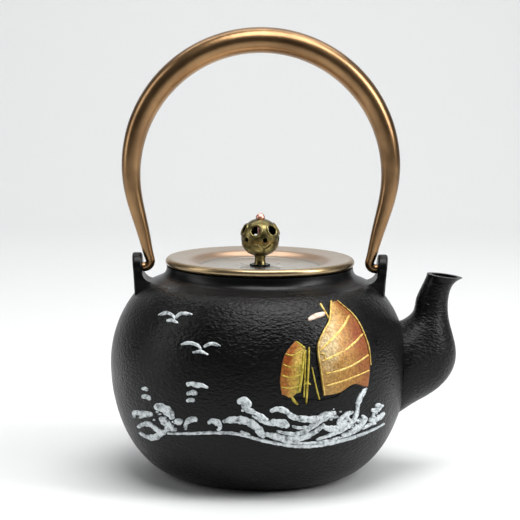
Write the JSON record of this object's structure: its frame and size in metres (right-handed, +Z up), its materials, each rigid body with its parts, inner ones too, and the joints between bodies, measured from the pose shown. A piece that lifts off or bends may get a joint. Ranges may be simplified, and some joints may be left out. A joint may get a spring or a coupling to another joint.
{
  "type": "cast iron teapot",
  "caption": "Round cast iron teapot with a short spout, swinging bail handle, lift-off dished metal lid with a pierced ball knob, and a sailing scene in relief.",
  "frame": {"origin": "centre of the flat foot of the bowl", "axes": "+Z up along the bowl's axis, +X towards the spout, so the relief faces -Y"},
  "size_m": [0.1891, 0.1605, 0.2395],
  "materials": {
    "iron": "black, fine hammered skin, satin",
    "gold_paint": "gold and orange paint on relief",
    "pink_paint": "cream pink paint on relief",
    "silver_paint": "silver paint on relief",
    "bronze": "brown bronze, smooth satin",
    "copper": "pale aged copper, brushed satin",
    "dark_metal": "dark patina",
    "antique_brass": "antique brass with dark recesses",
    "pink_copper": "polished copper rivet head"
  },
  "bodies": {
    "pot": {"body_casting": "iron", "body_bottom": "iron", "body_shoulder": "iron", "spout": "iron", "ear_left": "iron", "ear_right": "iron", "relief_hull": "iron", "relief_main_sail": "gold_paint", "relief_fore_sail": "gold_paint", "relief_mast": "gold_paint", "relief_pennant": "pink_paint", "relief_waves": "silver_paint", "relief_clouds": "silver_paint", "relief_gulls": "silver_paint"},
    "handle": {"handle": "bronze"},
    "lid": {"lid_plate": "copper", "lid_ring": "copper", "knob_seat": "dark_metal"},
    "knob": {"knob_stem": "antique_brass", "knob_cup": "antique_brass", "knob_cage": "antique_brass", "knob_pin": "pink_copper", "knob_washer": "antique_brass"}
  },
  "joints": [
    {"name": "handle_swing", "type": "hinge", "parent": "pot", "child": "handle", "pos_m": [0, 0, 0.111], "axis": [1, 0, 0], "range_deg": [-100, 100]},
    {"name": "lid_lift", "type": "slide", "parent": "pot", "child": "lid", "axis": [0, 0, 1], "range_m": [0, 0.06]},
    {"name": "knob_turn", "type": "hinge", "parent": "lid", "child": "knob", "pos_m": [0, 0, 0.118], "axis": [0, 0, 1], "continuous": true}
  ]
}
